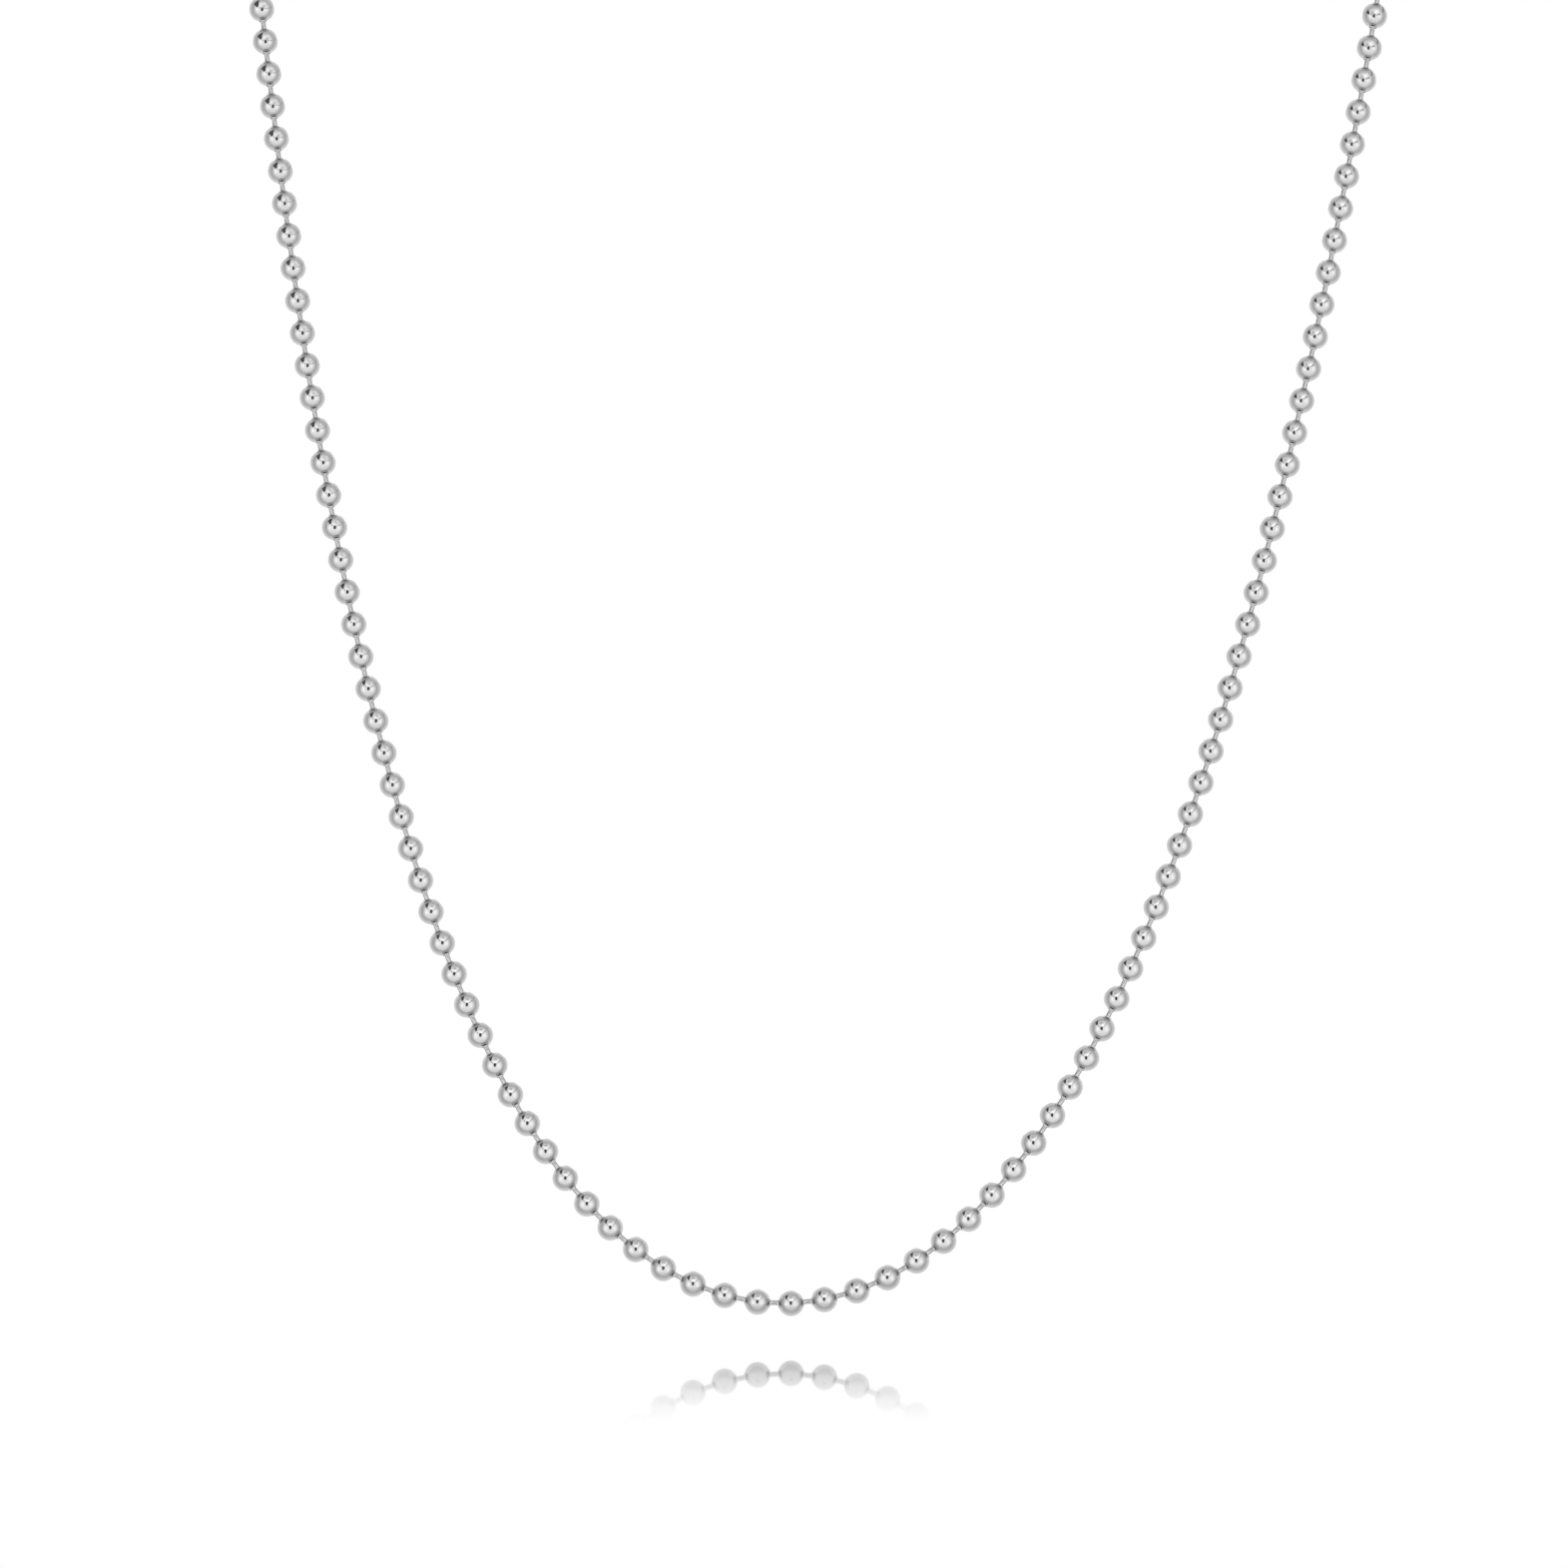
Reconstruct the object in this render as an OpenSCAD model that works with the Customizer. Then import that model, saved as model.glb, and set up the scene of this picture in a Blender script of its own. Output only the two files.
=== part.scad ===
/* [Chain] */
// Length of the chain all the way round, clasp included
chain_len = 600; // [450:5:750]
// Diameter of a bead
bead_d = 3; // [2.6:0.1:3.6]
// Space between two beads, which bares the link's pin
bead_gap = 0.9; // [0.7:0.05:1.2]
// Thickness of a bead's sheet metal
bead_wall = 0.2; // [0.15:0.01:0.25]
// How far the chain has slipped round the neck, in steps from bead to bead
slip = -0.07; // [-0.5:0.01:0.5]

/* [Links] */
// Thickness of a link's pin
pin_d = 0.58; // [0.4:0.02:0.6]
// Thickness of the head on each end of a link
head_t = 0.3; // [0.2:0.05:0.4]
// How far a head reaches past the edge of its hole
head_grip = 0.08; // [0.05:0.01:0.12]

/* [Neck] */
// Width between the two places where the front begins to hang
neck_w = 132; // [100:1:160]
// Distance from those places back to the nape
neck_depth = 70.5; // [50:0.5:90]
// Height of the nape above those places
nape_rise = 30; // [0:1:50]
// Angle at which the front leans back on the chest
chest_lean = 7.5; // [0:0.5:20]

/* [Clasp] */
// Thickness of the clasp's sheet metal
clasp_wall = 0.25; // [0.2:0.01:0.4]
// Width of the slot that the end links slide in by
slot_w = 0.9; // [0.8:0.05:1.2]

/* [Hidden] */
$fn = 48;

// Space that is left round everything loose
play = 0.12;
// Length of the curve's handles at the side of the neck, in neck widths
handle_share = 0.34;
// Straight steps in which one side of the neck is measured
neck_steps = 60;
// Sides of the plain wire that stands for the links behind the neck
wire_sides = 8;

bead_r = bead_d / 2;
cavity_r = bead_r - bead_wall;
pin_r = pin_d / 2;

// The beads come in pairs, so that the clasp sits at the nape
half_count = round(chain_len / (bead_d + bead_gap) / 2);
bead_count = 2 * half_count;
pitch = chain_len / bead_count;

function sinh(x) = (exp(x) - exp(-x)) / 2;
function asinh(x) = ln(x + sqrt(x * x + 1));
function unit(v) = v / norm(v);
function total(v, n) = n < 0 ? 0 : v[n] + total(v, n - 1);

// The front hangs as a catenary, whose sag is its radius at the lowest point
function front_half(sag) = sag * sinh(neck_w / 2 / sag);
function front_rise(sag, s) = sqrt(sag * sag + s * s) - sag;
function front_top(sag) = front_rise(sag, front_half(sag));
function lean(v) = [v[0], v[1] * sin(chest_lean), v[1] * cos(chest_lean)];

// Point of the front at the distance s from its lowest point
function front_point(sag, s) =
    lean([sag * asinh(s / sag), front_rise(sag, s) - front_top(sag)])
    - [0, neck_depth / 2, nape_rise];

// One side of the neck is a cubic curve from the front to the nape
handle = handle_share * neck_w;
function neck_corners(sag) =
    let (top = front_point(sag, front_half(sag)))
    let (way_up = unit(lean([sag, front_half(sag)])))
    let (nape = [0, neck_depth / 2, 0])
    [top, top + handle * way_up, nape + [handle, 0, 0], nape];
function cubic(c, t) =
    pow(1 - t, 3) * c[0]
    + 3 * pow(1 - t, 2) * t * c[1]
    + 3 * (1 - t) * t * t * c[2]
    + pow(t, 3) * c[3];
function neck_points(sag) =
    let (corners = neck_corners(sag))
    [for (i = [0:neck_steps]) cubic(corners, i / neck_steps)];
function step_lengths(points) =
    [for (i = [1:len(points) - 1]) norm(points[i] - points[i - 1])];
function loop_len(sag) =
    let (steps = step_lengths(neck_points(sag)))
    2 * (front_half(sag) + total(steps, neck_steps - 1));

// The sag that makes the loop as long as the chain, by halving a range until it can't be halved
function find_sag(low, high) =
    let (mid = (low + high) / 2)
    mid == low || mid == high ? mid
    : loop_len(mid) > chain_len ? find_sag(mid, high)
    : find_sag(low, mid);
front_sag = find_sag(neck_w / 12, neck_w * 2);
front_len = front_half(front_sag);

// Distance along the chain, then place, of each point at the side of the neck
neck_route = neck_points(front_sag);
neck_lengths = step_lengths(neck_route);
neck_dist = [for (i = [0:neck_steps]) front_len + total(neck_lengths, i - 1)];
function neck_axis(axis) =
    [for (i = [0:neck_steps]) [neck_dist[i], neck_route[i][axis]]];
neck_x = neck_axis(0);
neck_y = neck_axis(1);
neck_z = neck_axis(2);

// Point of the loop at the distance s from its lowest point, to the left if negative
function right_point(s) =
    s < front_len ? front_point(front_sag, s)
    : [lookup(s, neck_x), lookup(s, neck_y), lookup(s, neck_z)];
function loop_point(s) =
    let (p = right_point(abs(s)))
    s < 0 ? [-p[0], p[1], p[2]] : p;

// Bead 0 is the first one right of the lowest point, and the clasp joins the ends
first_bead = -half_count;
last_bead = half_count - 1;
function round_loop(i) =
    i > last_bead ? i - bead_count : i < first_bead ? i + bead_count : i;
function bead_point(i) = loop_point((round_loop(i) + 0.5 + slip) * pitch);
function link_way(i) = unit(bead_point(i + 1) - bead_point(i));
function bead_way(i) = unit(link_way(i - 1) + link_way(i));
function bend_at(i) = acos(min(1, link_way(i - 1) * link_way(i)));
bend = max([for (i = [first_bead:last_bead]) bend_at(i)]);

// Links from here on to the same bead on the left are real, and wire stands for the rest
front_beads = round(front_len / pitch);

// A hole lets the pin lean by half a bend, and a head can't pass it
hole_r = pin_r + bead_r * tan(bend / 2) + play;
head_r = hole_r + head_grip;
rim_height = sqrt(pow(cavity_r, 2) - pow(hole_r, 2));
head_top = rim_height - head_r * tan(bend / 2) - play;

// The clasp is a capsule round the two end beads
clasp_cavity_r = bead_r + play;
clasp_r = clasp_cavity_r + clasp_wall;
clasp_hole_r = pin_r + clasp_r * tan(bend) + play;
clasp_span = norm(bead_point(first_bead) - bead_point(last_bead));

// Children stand at the point with their Z axis along the way
module along(point, way) {
    translate(point)
        rotate([0, acos(way[2]), atan2(way[1], way[0])])
            children();
}

// One hollow bead, open at both poles
module bead() {
    rotate_extrude()
        difference() {
            circle(r = bead_r);
            circle(r = cavity_r);
            translate([-bead_r, -bead_r])
                square([bead_r + hole_r, bead_d]);
        }
}

// One link from bead centre to bead centre: a pin with a flat head on each end
module link(len) {
    low = head_top - head_t;
    high = len - head_top;
    rotate_extrude()
        polygon([
            [0, low], [head_r, low], [head_r, head_top], [pin_r, head_top],
            [pin_r, high], [head_r, high], [head_r, high + head_t], [0, high + head_t]
        ]);
}

module beads() {
    color("silver")
        for (i = [first_bead:last_bead])
            along(bead_point(i), bead_way(i))
                bead();
}

module links() {
    color("gainsboro")
        for (i = [-front_beads:front_beads - 1])
            along(bead_point(i), link_way(i))
                link(norm(bead_point(i + 1) - bead_point(i)));
}

// Ring of the wire round a bead's centre; side is 1 on the right and -1 on the left
function wire_ring(i, side) =
    let (way = bead_way(i))
    let (u = unit(cross(way, [side, 0, 1])))
    let (v = cross(way, u))
    [
        for (k = [0:wire_sides - 1])
            bead_point(i) + pin_r * (cos(360 * k / wire_sides) * u + sin(360 * k / wire_sides) * v)
    ];

// Plain wire through the beads from one number to another
module wire(from, to, side) {
    points = [for (i = [from:to]) each wire_ring(i, side)];
    rings = to - from + 1;
    walls = [
        for (r = [0:rings - 2], k = [0:wire_sides - 1])
            let (next = (k + 1) % wire_sides, low = r * wire_sides, high = low + wire_sides)
            each [[low + k, low + next, high + next], [low + k, high + next, high + k]]
    ];
    start_cap = [for (k = [0:wire_sides - 1]) wire_sides - 1 - k];
    end_cap = [for (k = [0:wire_sides - 1]) (rings - 1) * wire_sides + k];
    polyhedron(points, concat([start_cap], walls, [end_cap]));
}

module back_wire() {
    color("gainsboro") {
        wire(front_beads, last_bead, 1);
        wire(first_bead, -front_beads, -1);
    }
}

// Half of a capsule's outline, beside the Z axis
module half_capsule(r) {
    intersection() {
        union() {
            for (end = [-1, 1])
                translate([0, end * clasp_span / 2])
                    circle(r = r);
            square([2 * r, clasp_span], center = true);
        }
        translate([0, -clasp_span / 2 - r])
            square([r, clasp_span + 2 * r]);
    }
}

module clasp() {
    height = clasp_span + 2 * clasp_r;
    middle = (bead_point(first_bead) + bead_point(last_bead)) / 2;
    color("silver")
        along(middle, link_way(last_bead))
            difference() {
                rotate_extrude()
                    difference() {
                        half_capsule(clasp_r);
                        half_capsule(clasp_cavity_r);
                    }
                cylinder(r = clasp_hole_r, h = height + 1, center = true);
                translate([0, -slot_w / 2, -height / 2])
                    cube([clasp_r + 1, slot_w, height]);
            }
}

beads();
links();
back_wire();
clasp();
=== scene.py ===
"""Ball chain necklace of polished steel, hanging in a bright light tent."""

import math

import bpy
import numpy as np
from mathutils import Matrix, Vector


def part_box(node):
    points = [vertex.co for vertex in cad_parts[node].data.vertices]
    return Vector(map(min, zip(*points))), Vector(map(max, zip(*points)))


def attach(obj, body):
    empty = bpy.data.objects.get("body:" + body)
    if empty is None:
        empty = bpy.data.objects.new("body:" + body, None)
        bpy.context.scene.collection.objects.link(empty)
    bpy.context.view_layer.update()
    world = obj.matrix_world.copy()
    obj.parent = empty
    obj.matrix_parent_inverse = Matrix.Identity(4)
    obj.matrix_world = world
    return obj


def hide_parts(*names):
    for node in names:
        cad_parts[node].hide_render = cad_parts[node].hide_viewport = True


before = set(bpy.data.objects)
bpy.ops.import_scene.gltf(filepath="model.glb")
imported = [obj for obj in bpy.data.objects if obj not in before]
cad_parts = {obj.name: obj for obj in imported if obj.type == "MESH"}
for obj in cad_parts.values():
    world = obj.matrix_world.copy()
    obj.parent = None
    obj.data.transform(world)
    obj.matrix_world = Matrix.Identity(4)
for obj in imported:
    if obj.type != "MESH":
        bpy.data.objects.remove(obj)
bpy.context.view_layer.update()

MM = 0.001

# Radius of the rounding at the lips of the beads' holes and at the heads of the links
LIP_EDGE = 0.03 * MM
HEAD_EDGE = 0.1 * MM

# Share that the lips leave of the solids' play round a pin
LIP_PLAY = 0.5

# Beads lower than this are in the front piece, the others in the back piece
FRONT_TOP = -55 * MM

# What the photo shows, in pixels of its 1571 x 1571 frame
PHOTO_W = 1571
PITCH_PX = 33.65
LOWEST_BEAD_PX = (792.0, 1305.4)
MIRROR_LINE_PX = 1340.5

# The photo's camera
FOCAL_PX = 11677
ROLL = math.radians(1.77)
SENSOR_MM = 36.0

# How finely the meshes are made
BEAD_SIDES = 32
BEAD_ARC_STEPS = 18
CAVITY_STEPS = 8
LIP_STEPS = 4
PIN_SIDES = 20
EDGE_STEPS = 3


def grey(value):
    """A grey as a colour."""
    return (value, value, value, 1.0)


# Where the beads are

def mesh_islands(obj):
    """Vertices of each loose solid of a node, as arrays of places."""
    same_place = 1e-7
    co = np.array([v.co for v in obj.data.vertices])
    rounded = np.round(co / same_place).astype(np.int64)
    label = np.unique(rounded, axis=0, return_inverse=True)[1].reshape(-1)
    edges = label[np.array([e.vertices[:] for e in obj.data.edges])]
    # Each place takes the lowest number next to it, until all of a solid have the same one
    root = np.arange(label.max() + 1)
    while True:
        low = np.minimum(root[edges[:, 0]], root[edges[:, 1]])
        new = root.copy()
        np.minimum.at(new, edges[:, 0], low)
        np.minimum.at(new, edges[:, 1], low)
        new = new[new]
        if (new == root).all():
            break
        root = new
    solid = root[label]
    return [co[solid == s] for s in np.unique(solid)]


def sphere_centre(points):
    """Centre of the sphere that the outer skin of a hollow bead lies on."""
    reach = np.linalg.norm(points - points.mean(axis=0), axis=1)
    skin = points[reach > (reach.min() + reach.max()) / 2]
    rows = np.hstack([2 * skin, np.ones((len(skin), 1))])
    answer = np.linalg.lstsq(rows, (skin ** 2).sum(axis=1), rcond=None)[0]
    return answer[:3]


def chain_order(centres, clasp_place):
    """The centres in order round the loop, from the clasp's +X end to its -X end."""
    reach = np.linalg.norm(centres - clasp_place, axis=1)
    right = np.where(centres[:, 0] > clasp_place[0])[0]
    left = np.where(centres[:, 0] <= clasp_place[0])[0]
    first = right[reach[right].argmin()]
    last = left[reach[left].argmin()]
    waiting = [i for i in range(len(centres)) if i not in (first, last)]
    order = [first]
    while waiting:
        step = np.linalg.norm(centres[waiting] - centres[order[-1]], axis=1)
        order.append(waiting.pop(int(step.argmin())))
    return centres[order + [last]]


def unit(v):
    """A vector's direction, as a vector of length 1."""
    return v / np.linalg.norm(v)


def along_and_off(points, origin, way):
    """Distance of each point along an axis, and its distance from the axis."""
    along = (points - origin) @ way
    off = np.linalg.norm(points - origin - np.outer(along, way), axis=1)
    return along, off


beads_found = mesh_islands(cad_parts["beads"])
bead_centres = chain_order(
    np.array([sphere_centre(p) for p in beads_found]), np.mean(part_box("clasp"), axis=0)
)
BEADS = len(bead_centres)
steps = np.roll(bead_centres, -1, axis=0) - bead_centres
PITCH = float(np.median(np.linalg.norm(steps, axis=1)))
link_ways = np.array([unit(s) for s in steps])
bead_ways = np.array([unit(link_ways[i - 1] + link_ways[i]) for i in range(BEADS)])
lowest = int(bead_centres[:, 2].argmin())


def owner(points):
    """Number of the bead whose centre is nearest to the middle of some points."""
    return int(np.linalg.norm(bead_centres - points.mean(axis=0), axis=1).argmin())


def bead_sizes(points):
    """Outer radius of a bead, thickness of its sheet, and radius of its holes."""
    number = owner(points)
    along, _ = along_and_off(points, bead_centres[number], bead_ways[number])
    reach = np.linalg.norm(points - bead_centres[number], axis=1)
    outer = reach.max()
    return outer, outer - reach.min(), math.sqrt(outer ** 2 - np.abs(along).max() ** 2)


def link_sizes(points):
    """Radius of a pin, and its head's radius, thickness and reach from the bead's centre."""
    middle = points.mean(axis=0)
    number = int(np.linalg.norm(bead_centres + steps / 2 - middle, axis=1).argmin())
    along, off = along_and_off(points, bead_centres[number], link_ways[number])
    first_half = along < np.linalg.norm(steps[number]) / 2
    reach = along[first_half].max()
    pin_end = first_half & (along > reach - HEAD_EDGE)
    return off[pin_end].min(), off.max(), reach - along.min(), reach


BEAD_R, SHEET, HOLE_R = bead_sizes(beads_found[0])
PIN_R, HEAD_R, HEAD_T, HEAD_TOP = link_sizes(mesh_islands(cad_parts["links"])[0])


# Meshes

def new_object(name, places, faces):
    """An object in the scene, with a mesh of its own."""
    mesh = bpy.data.meshes.new(name)
    mesh.from_pydata([tuple(p) for p in places], [], faces)
    obj = bpy.data.objects.new(name, mesh)
    bpy.context.scene.collection.objects.link(obj)
    return obj


def turned(profile, sides, closed):
    """Vertices and faces of a profile of (radius, height) turned round the Z axis."""
    angles = np.arange(sides) * 2 * math.pi / sides
    places = [
        (r * math.cos(a), r * math.sin(a), z) for r, z in profile for a in angles
    ]
    rows = len(profile)
    faces = []
    for j in range(rows if closed else rows - 1):
        for k in range(sides):
            here = j * sides
            there = ((j + 1) % rows) * sides
            side = (k + 1) % sides
            faces.append((here + k, here + side, there + side, there + k))
    if not closed:
        faces.append(tuple(range(sides))[::-1])
        faces.append(tuple((rows - 1) * sides + k for k in range(sides)))
    return np.array(places), faces


def joined_copies(name, shape, places, ways, material):
    """One mesh of a shape set at each place with its Z axis along the way there."""
    corners, faces = shape
    verts = []
    polys = []
    for place, way in zip(places, ways):
        turn = np.array(Vector(way).to_track_quat("Z", "Y").to_matrix())
        start = len(verts)
        verts.extend(corners @ turn.T + place)
        polys.extend([tuple(start + v for v in f) for f in faces])
    obj = new_object(name, verts, polys)
    obj.data.validate()
    obj.data.update()
    obj.data.shade_smooth()
    obj.data.materials.append(material)
    return obj


def arc(centre, radius, start, end, count):
    """Points of an arc in the profile's plane, with angles from its radius axis."""
    return [
        (centre[0] + radius * math.cos(a), centre[1] + radius * math.sin(a))
        for a in np.linspace(start, end, count)
    ]


def bead_profile():
    """Closed outline of a hollow bead's wall, with a small round lip at its two holes."""
    edge = LIP_EDGE
    hole = PIN_R + (HOLE_R - PIN_R) * LIP_PLAY
    lip_at = math.acos((hole + 2 * edge) / BEAD_R)
    outer = arc((0, 0), BEAD_R, -lip_at, lip_at, BEAD_ARC_STEPS)
    top = arc((hole + edge, BEAD_R - edge), edge, 0, math.pi, LIP_STEPS + 1)
    cavity_at = math.acos(hole / (BEAD_R - SHEET))
    cavity = arc((0, 0), BEAD_R - SHEET, cavity_at, -cavity_at, CAVITY_STEPS)
    bottom = [(r, -z) for r, z in reversed(top)]
    return outer + top + cavity + bottom


def pin_profile(length):
    """Outline of a link between two bead centres, with a rounded head on each end."""
    edge = HEAD_EDGE
    end_face = HEAD_R * 0.4
    head = (
        [(end_face, HEAD_TOP - HEAD_T)]
        + arc((HEAD_R - edge, HEAD_TOP - HEAD_T + edge), edge, -math.pi / 2, 0, EDGE_STEPS)
        + arc((HEAD_R - edge, HEAD_TOP - edge), edge, 0, math.pi / 2, EDGE_STEPS)
        + [(PIN_R + edge / 2, HEAD_TOP), (PIN_R, HEAD_TOP + edge / 2)]
    )
    return head + [(r, length - z) for r, z in reversed(head)]


# Materials

class Tree:
    """Short calls that add nodes to a node tree and join them."""

    def __init__(self, tree):
        self.tree = tree
        tree.nodes.clear()

    def node(self, kind, **settings):
        """A new node with these settings."""
        made = self.tree.nodes.new(kind)
        for key, value in settings.items():
            setattr(made, key, value)
        return made

    def join(self, source, target):
        """A line from one node's output to another's input."""
        self.tree.links.new(source, target)

    def math(self, operation, *values, clamp=False):
        """Result of a sum with numbers and other nodes' outputs."""
        made = self.node("ShaderNodeMath", operation=operation, use_clamp=clamp)
        for socket, value in zip(made.inputs, values):
            if isinstance(value, (int, float)):
                socket.default_value = value
            else:
                self.join(value, socket)
        return made.outputs[0]

    def squares(self, a, b):
        """Sum of the squares of two values."""
        return self.math("ADD", self.math("POWER", a, 2), self.math("POWER", b, 2))

    def bell(self, a, b):
        """1 where both values are 0, and softly down to 0 away from there."""
        return self.math("EXPONENT", self.math("MULTIPLY", self.squares(a, b), -1))

    def between(self, value, low, high):
        """0 below low, 1 above high, smooth between."""
        made = self.node("ShaderNodeMapRange", interpolation_type="SMOOTHSTEP")
        self.join(value, made.inputs["Value"])
        made.inputs["From Min"].default_value = low
        made.inputs["From Max"].default_value = high
        return made.outputs["Result"]

    def spread(self, value, low, high):
        """From low to high as a value goes from 0 to 1."""
        made = self.node("ShaderNodeMapRange")
        self.join(value, made.inputs["Value"])
        made.inputs["To Min"].default_value = low
        made.inputs["To Max"].default_value = high
        return made.outputs["Result"]

    def noise(self, place, scale, detail):
        """Soft noise over a place, with about so many waves to a metre."""
        made = self.node("ShaderNodeTexNoise")
        made.inputs["Scale"].default_value = scale
        made.inputs["Detail"].default_value = detail
        self.join(place, made.inputs["Vector"])
        return made.outputs["Fac"]

    def place(self, kind):
        """Place of the point that is lit, of one kind of the texture coordinates."""
        return self.node("ShaderNodeTexCoord").outputs[kind]

    def xyz(self, vector):
        """The three parts of a vector."""
        made = self.node("ShaderNodeSeparateXYZ")
        self.join(vector, made.inputs["Vector"])
        return made.outputs

    def grey_of(self, value):
        """A grey as bright as a value."""
        made = self.node("ShaderNodeCombineColor")
        for part in ("Red", "Green", "Blue"):
            self.join(value, made.inputs[part])
        return made.outputs["Color"]

    def mixed(self, share, first, second):
        """Two shaders, with this share of the second."""
        made = self.node("ShaderNodeMixShader")
        for socket, source in zip(made.inputs, (share, first, second)):
            self.join(source, socket)
        return made.outputs["Shader"]


def new_material(name):
    """A material, the tree of its nodes, and its surface socket."""
    material = bpy.data.materials.new(name)
    material.use_nodes = True
    t = Tree(material.node_tree)
    return material, t, t.node("ShaderNodeOutputMaterial").inputs["Surface"]


def steel(name, tone, shine, wave):
    """Polished steel: tone is its grey, shine its roughness, wave its faint unevenness."""
    cloud_scale, cloud_detail = 900.0, 3.0
    grain_scale, grain_detail, grain_depth = 2500.0, 2.0, 0.02 * MM
    tone_play = 0.02
    smoothest, roughest = 0.6, 1.4

    material, t, surface = new_material(name)
    metal = t.node("ShaderNodeBsdfPrincipled")
    metal.inputs["Metallic"].default_value = 1.0
    place = t.place("Object")

    cloud = t.noise(place, cloud_scale, cloud_detail)
    tint = t.spread(cloud, tone - tone_play, tone + tone_play)
    t.join(t.grey_of(tint), metal.inputs["Base Color"])
    rough = t.spread(cloud, shine * smoothest, shine * roughest)
    t.join(rough, metal.inputs["Roughness"])

    bump = t.node("ShaderNodeBump")
    bump.inputs["Strength"].default_value = wave
    bump.inputs["Distance"].default_value = grain_depth
    t.join(t.noise(place, grain_scale, grain_detail), bump.inputs["Height"])
    t.join(bump.outputs["Normal"], metal.inputs["Normal"])

    t.join(metal.outputs["BSDF"], surface)
    return material


bead_steel = steel("bead_steel", tone=0.52, shine=0.06, wave=0.1)
link_steel = steel("link_steel", tone=0.46, shine=0.28, wave=0.1)
clasp_steel = steel("clasp_steel", tone=0.52, shine=0.08, wave=0.15)


# Pieces

def add_beads():
    """Every bead, in a front and a back piece, since one alone would be too heavy."""
    bead = turned(bead_profile(), BEAD_SIDES, closed=True)
    front = [i for i in range(BEADS) if bead_centres[i, 2] < FRONT_TOP]
    back = [i for i in range(BEADS) if i not in front]
    for name, chosen in (("front_beads", front), ("back_beads", back)):
        piece = joined_copies(name, bead, bead_centres[chosen], bead_ways[chosen], bead_steel)
        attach(piece, "root")
        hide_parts("beads")


def add_links():
    """A real link between each bead and the next, except where the clasp is."""
    pin = turned(pin_profile(PITCH), PIN_SIDES, closed=False)
    chosen = range(BEADS - 1)
    piece = joined_copies("pins", pin, bead_centres[chosen], link_ways[chosen], link_steel)
    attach(piece, "root")
    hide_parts("links", "back_wire")


def dress_clasp():
    """The clasp's own solid, in its steel."""
    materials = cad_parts["clasp"].data.materials
    materials.clear()
    materials.append(clasp_steel)


add_beads()
add_links()
dress_clasp()


# Camera

def add_camera():
    """The photo's camera, which looks along +Y, a little rolled, placed by the lowest bead."""
    metres_per_px = PITCH / PITCH_PX
    right = Vector((math.cos(ROLL), 0, math.sin(ROLL)))
    up = Vector((-math.sin(ROLL), 0, math.cos(ROLL)))
    forward = Vector((0, 1, 0))
    middle = (PHOTO_W - 1) / 2
    place = Vector(bead_centres[lowest]) - metres_per_px * (
        right * (LOWEST_BEAD_PX[0] - middle)
        + up * (middle - LOWEST_BEAD_PX[1])
        + forward * FOCAL_PX
    )
    data = bpy.data.cameras.new("camera")
    data.sensor_width = SENSOR_MM
    data.lens = SENSOR_MM * FOCAL_PX / PHOTO_W
    data.clip_start = 0.01
    data.clip_end = 50
    camera = bpy.data.objects.new("camera", data)
    camera.matrix_world = Matrix((
        (right.x, up.x, -forward.x, place.x),
        (right.y, up.y, -forward.y, place.y),
        (right.z, up.z, -forward.z, place.z),
        (0, 0, 0, 1),
    ))
    bpy.context.scene.collection.objects.link(camera)
    bpy.context.scene.camera = camera
    return right, up, forward, metres_per_px


camera_right, camera_up, camera_forward, METRES_PER_PX = add_camera()
floor_centre = Vector(bead_centres[lowest]) - camera_up * (
    (MIRROR_LINE_PX - LOWEST_BEAD_PX[1]) * METRES_PER_PX
)


# Light tent

# Level of all light that reaches the camera by two mirrors, as from the floor and a bead
EVEN_LEVEL = 1.0


def evened(t, level):
    """A light's level, made even where two mirrors in turn show it."""
    mirrors = t.node("ShaderNodeLightPath").outputs["Glossy Depth"]
    twice = t.math("GREATER_THAN", mirrors, 1.5)
    once = t.math("MULTIPLY", level, t.math("SUBTRACT", 1, twice))
    return t.math("ADD", once, t.math("MULTIPLY", twice, EVEN_LEVEL))


def place_on_ball(t):
    """Place on a mirror ball, from -1 to 1 each way, where it shows the camera this light."""
    smallest = 1e-6
    turn = t.node("ShaderNodeMapping", vector_type="POINT")
    turn.inputs["Rotation"].default_value = (0, ROLL, 0)
    t.join(t.place("Generated"), turn.inputs["Vector"])
    x, y, z = t.xyz(turn.outputs["Vector"])
    doubled = t.math("MULTIPLY", t.math("SUBTRACT", 1, y), 2)
    span = t.math("SQRT", t.math("MAXIMUM", doubled, smallest))
    return t.math("DIVIDE", x, span), t.math("DIVIDE", z, span)


def level_by_distance(t, distance):
    """Level of the tent by the distance from the mirror ball's middle."""
    # Distance and level
    stops = [
        (0.00, 1.40), (0.30, 1.42), (0.45, 1.27), (0.54, 1.07), (0.64, 0.81),
        (0.72, 0.73), (0.80, 0.85), (0.87, 1.07), (0.92, 1.08), (0.97, 1.00), (1.00, 1.00),
    ]
    # Level that the ramp's white stands for
    top_level = 2.0
    ramp = t.node("ShaderNodeValToRGB")
    ramp.color_ramp.interpolation = "B_SPLINE"
    elements = ramp.color_ramp.elements
    while len(elements) < len(stops):
        elements.new(0.5)
    for element, (at, level) in zip(elements, stops):
        element.position = at
        element.color = grey(level / top_level)
    t.join(distance, ramp.inputs["Fac"])
    return t.math("MULTIPLY", ramp.outputs["Color"], top_level)


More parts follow.
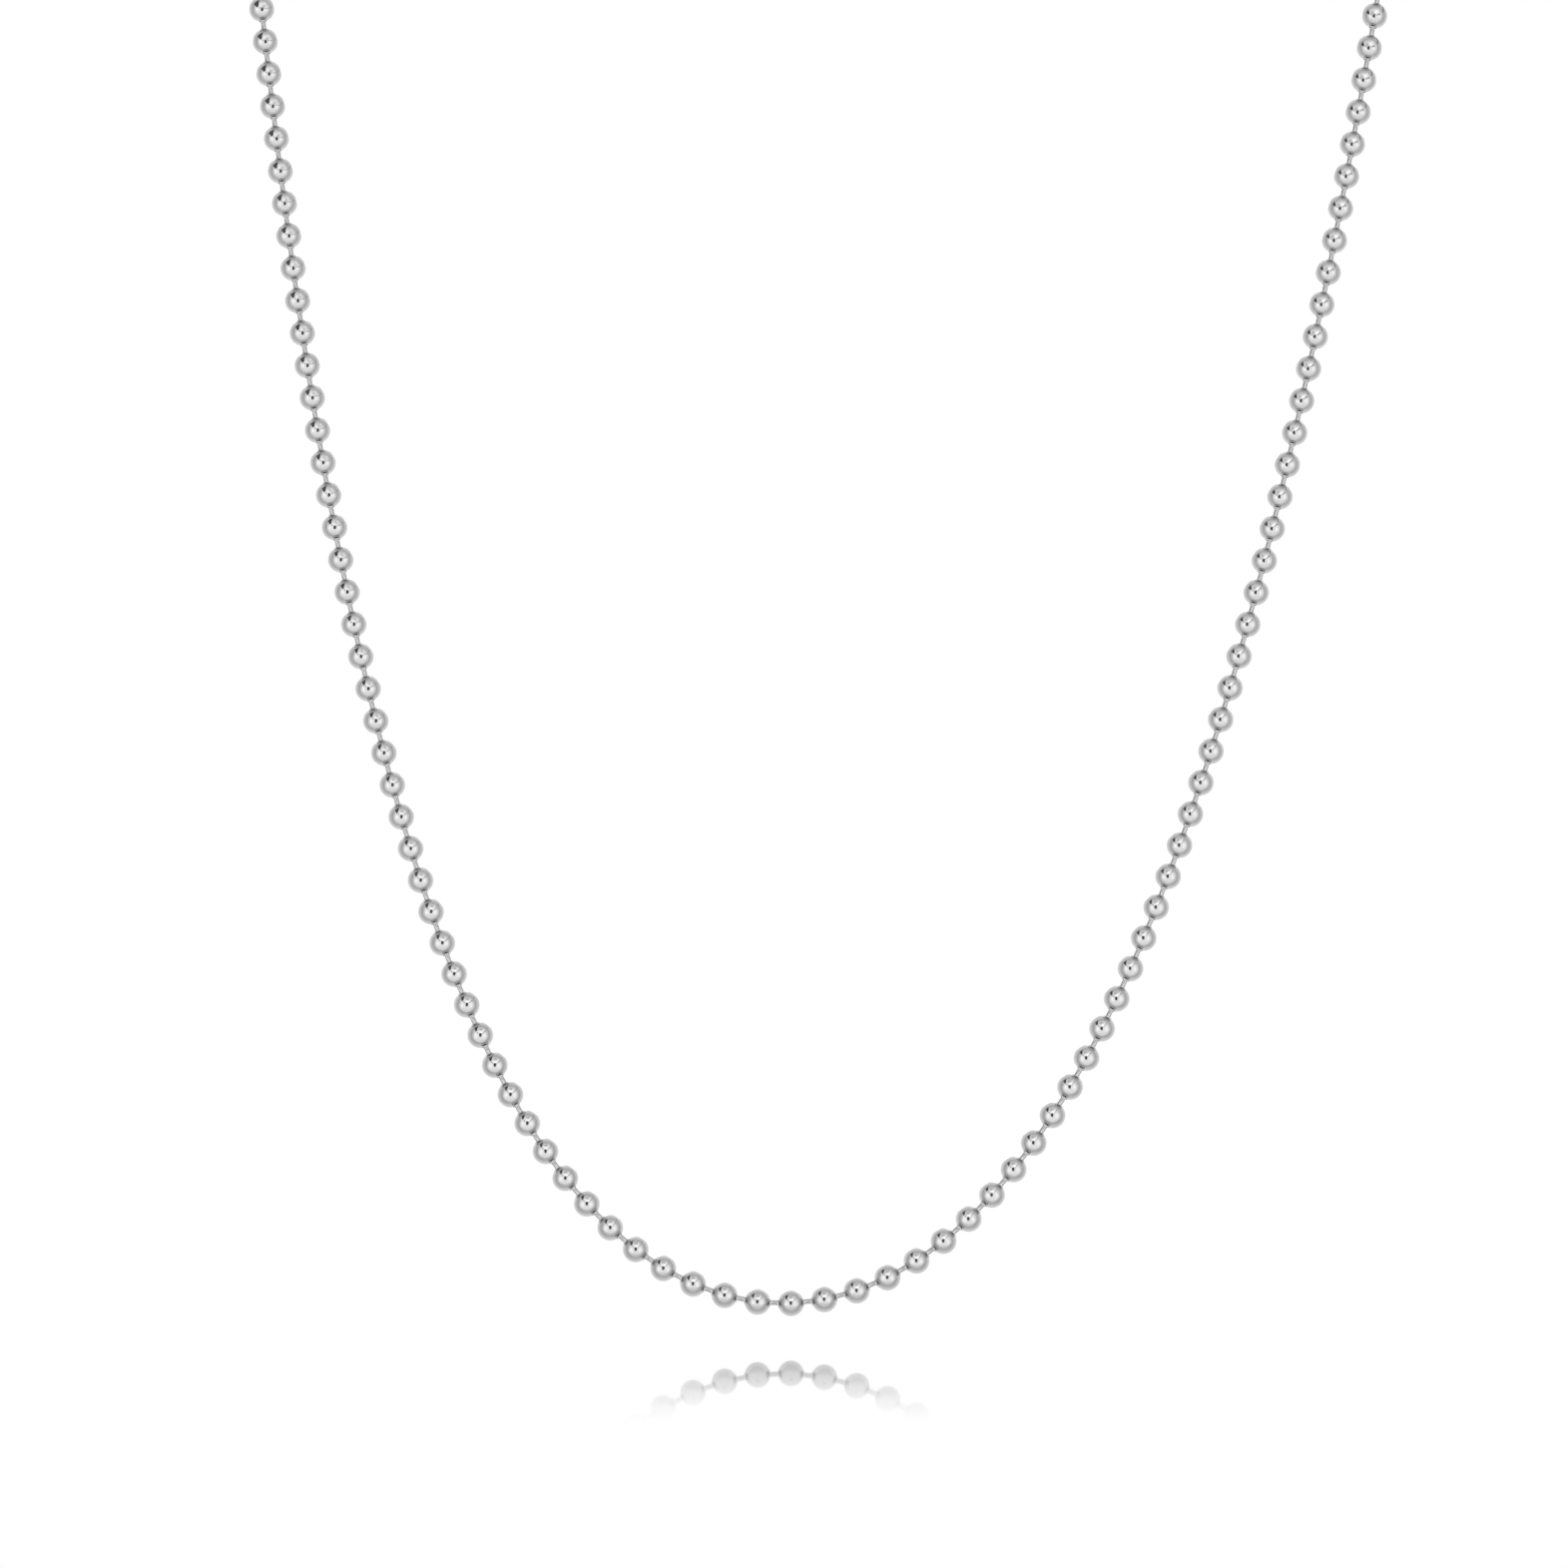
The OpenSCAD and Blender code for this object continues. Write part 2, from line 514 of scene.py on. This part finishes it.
def tent_light():
    """Light of the tent by direction, drawn as a mirror ball would show it from the front."""
    world = bpy.data.worlds.new("tent")
    bpy.context.scene.world = world
    world.use_nodes = True
    t = Tree(world.node_tree)
    u, v = place_on_ball(t)

    def spot(centre, size, lean=0.0):
        """Soft spot, 1 in its middle, with its size along and across its lean."""
        du = t.math("SUBTRACT", u, centre[0])
        dv = t.math("SUBTRACT", v, centre[1])

        def part(du_share, dv_share):
            return t.math(
                "ADD", t.math("MULTIPLY", du, du_share), t.math("MULTIPLY", dv, dv_share)
            )

        c, s = math.cos(lean), math.sin(lean)
        return t.bell(part(c / size[0], s / size[0]), part(-s / size[1], c / size[1]))

    def brighter(level, mask, amount):
        """A level with an amount added where the mask is."""
        return t.math("ADD", level, t.math("MULTIPLY", mask, amount))

    def darker(level, mask, share):
        """A level with a share taken off where the mask is."""
        kept = t.math("SUBTRACT", 1, t.math("MULTIPLY", mask, share), clamp=True)
        return t.math("MULTIPLY", level, kept)

    level = level_by_distance(t, t.math("SQRT", t.squares(u, v)))
    # Brighter at both sides of the opening and above it, duller at the left, brighter low down
    level = brighter(level, spot((-0.36, -0.03), (0.15, 0.20)), 0.44)
    level = brighter(level, spot((0.36, -0.03), (0.15, 0.20)), 0.38)
    level = brighter(level, spot((0.04, 0.28), (0.16, 0.11)), 0.62)
    level = brighter(level, spot((0.23, 0.40), (0.16, 0.07), math.radians(60)), 0.34)
    level = darker(level, spot((-0.60, 0.12), (0.12, 0.30)), 0.16)
    level = brighter(level, spot((0.0, -0.72), (0.45, 0.16)), 0.13)

    # The camera itself sees plain white
    light = t.node("ShaderNodeBackground")
    white = t.node("ShaderNodeBackground")
    for background in (light, white):
        background.inputs["Color"].default_value = grey(1.0)
    t.join(evened(t, level), light.inputs["Strength"])
    seen = t.node("ShaderNodeLightPath").outputs["Is Camera Ray"]
    out = t.node("ShaderNodeOutputWorld")
    t.join(
        t.mixed(seen, light.outputs["Background"], white.outputs["Background"]),
        out.inputs["Surface"],
    )


def panel(name, places):
    """Thin sheet by its corners in mm, which shows in mirrors only. Its material is left open."""
    sheet = new_object(name, [[c * MM for c in p] for p in places], [tuple(range(len(places)))])
    sheet.visible_camera = False
    material, t, surface = new_material(name)
    sheet.data.materials.append(material)
    return t, surface


def upright(x0, x1, y, z0, z1):
    """Corners of an upright rectangle that is square to the Y axis."""
    return [(x0, y, z0), (x1, y, z0), (x1, y, z1), (x0, y, z1)]


def card(name, places, level):
    """Part of the tent, or a lamp behind it, with one level of light."""
    t, surface = panel(name, places)
    glow = t.node("ShaderNodeEmission")
    glow.inputs["Color"].default_value = grey(1.0)
    t.join(evened(t, level), glow.inputs["Strength"])
    t.join(glow.outputs["Emission"], surface)


def add_opening():
    """Upright oval opening where the camera looks in, bent so that its ends are further away."""
    # The place that it is drawn round from, its half sizes at distance 1, and its distances
    x, y, z = -15, -55, -103
    aside, upward = 0.23, 0.325
    near, far = 395, 800
    sides = 24
    level = 0.13
    places = []
    for i in range(sides):
        turn = i * 2 * math.pi / sides
        away = near + (far - near) * math.sin(turn) ** 2
        places.append((
            x + aside * away * math.cos(turn), y - away, z + upward * away * math.sin(turn)
        ))
    card("opening", places, level)


def add_tent_edges():
    """The tent's two upper edges, which run to the camera, and the dark gap beside each."""
    edges = [
        # name, x and z of the edge, its width, where it starts and ends along y, level
        ("left_edge", -196, 9, 55, -635, -275, 0.72),
        ("right_edge", 133, -14, 34, -635, -90, 0.74),
    ]
    # Height of the line that both edges face
    middle_z = -100
    for name, x, z, width, start, end, level in edges:
        lean = math.atan2(z - middle_z, x)
        du, dv = -math.sin(lean) * width / 2, math.cos(lean) * width / 2
        card(name, [
            (x - du, start, z - dv), (x + du, start, z + dv),
            (x + du, end, z + dv), (x - du, end, z - dv),
        ], level)
    left_gap = [(-190, -265, 84), (-108, -40, 134), (-210, -40, 48), (-258, -265, 8)]
    right_gap = [(132, -60, -3), (132, -32, -3), (99, 48, 24), (99, 20, 24)]
    card("left_gap", left_gap, level=0.12)
    card("right_gap", right_gap, level=0.30)


def add_rear_lamps():
    """Two soft lamps high behind the chain, for its back."""
    y, low, high, level = 900, 0, 170, 2.2
    for name, x0, x1 in (("left_lamp", -260, -60), ("right_lamp", 60, 260)):
        card(name, upright(x0, x1, y, low, high), level)


def dim_by(t, surface, kept):
    """Makes a panel let through the share kept of the light behind it."""
    through = t.node("ShaderNodeBsdfTransparent")
    t.join(t.grey_of(kept), through.inputs["Color"])
    t.join(through.outputs["BSDF"], surface)


def add_shade():
    """Soft shade high in front of the chain, which the beads mirror above the opening."""
    x, y, z, half_width, half_height = -8, -195, 42, 116, 150
    share, sharpness = 0.48, 2
    t, surface = panel("shade", upright(
        x - half_width, x + half_width, y, z - half_height, z + half_height
    ))
    across, _, up = t.xyz(t.place("Generated"))
    mask = t.bell(*(
        t.math("MULTIPLY", t.math("SUBTRACT", part, 0.5), 2 * sharpness)
        for part in (across, up)
    ))
    dim_by(t, surface, t.math("SUBTRACT", 1, t.math("MULTIPLY", mask, share)))


def add_painted_floor_shade():
    """Painted shade: a sheet under the floor, close in front of the chain, which shows in mirrors
    only and dims what the lowest beads mirror.
    """
    # It goes down from high to low, both below the floor, and its upper end is soft
    half_width, ahead, high, low = 200 * MM, 15 * MM, 1 * MM, 290 * MM
    share, soft = 0.19, 16 * MM
    foot = floor_centre - camera_forward * ahead
    left, right = foot - camera_right * half_width, foot + camera_right * half_width
    t, surface = panel("painted_floor_shade", [
        (left - camera_up * low) / MM, (right - camera_up * low) / MM,
        (right - camera_up * high) / MM, (left - camera_up * high) / MM,
    ])
    _, _, up = t.xyz(t.place("Generated"))
    clear = t.between(up, 1 - soft / (low - high), 1)
    # Painted shade: the sheet keeps back a share of the light behind it, and none at its soft upper
    # end
    dim_by(t, surface, t.math("ADD", 1 - share, t.math("MULTIPLY", clear, share)))


def add_floor():
    """White floor that mirrors at a low angle only, and less and less away from the chain."""
    half_width, in_front, behind = 0.8, 0.9, 0.8
    fade_start, fade_end = 0.02, 0.19
    # How far from straight on the floor is seen where its mirror begins and where it is whole
    mirror_start, mirror_whole = 0.86, 0.93
    mirror_share, mirror_roughness = 0.97, 0.02

    floor = new_object("floor", [
        floor_centre + camera_right * side * half_width + camera_forward * depth
        for side, depth in ((-1, -in_front), (1, -in_front), (1, behind), (-1, behind))
    ], [(0, 1, 2, 3)])
    floor.visible_glossy = False

    material, t, surface = new_material("floor")
    x, y, _ = t.xyz(t.place("Object"))
    ahead = t.math("SUBTRACT", floor_centre.y, y)
    aside = t.math("SUBTRACT", floor_centre.x, x)
    fade = t.between(t.math("SQRT", t.squares(ahead, aside)), fade_start, fade_end)
    grazing = t.node("ShaderNodeLayerWeight").outputs["Facing"]
    low_angle = t.between(grazing, mirror_start, mirror_whole)
    gloss = t.math(
        "MULTIPLY", t.math("SUBTRACT", 1, fade), t.math("MULTIPLY", low_angle, mirror_share)
    )
    white = t.node("ShaderNodeEmission")
    white.inputs["Color"].default_value = grey(1.0)
    mirror = t.node("ShaderNodeBsdfGlossy")
    mirror.inputs["Roughness"].default_value = mirror_roughness
    mirror.inputs["Color"].default_value = grey(1.0)
    t.join(t.mixed(gloss, white.outputs["Emission"], mirror.outputs["BSDF"]), surface)
    floor.data.materials.append(material)


tent_light()
add_opening()
add_tent_edges()
add_rear_lamps()
add_shade()
add_painted_floor_shade()
add_floor()

bpy.context.scene.view_settings.view_transform = "Standard"
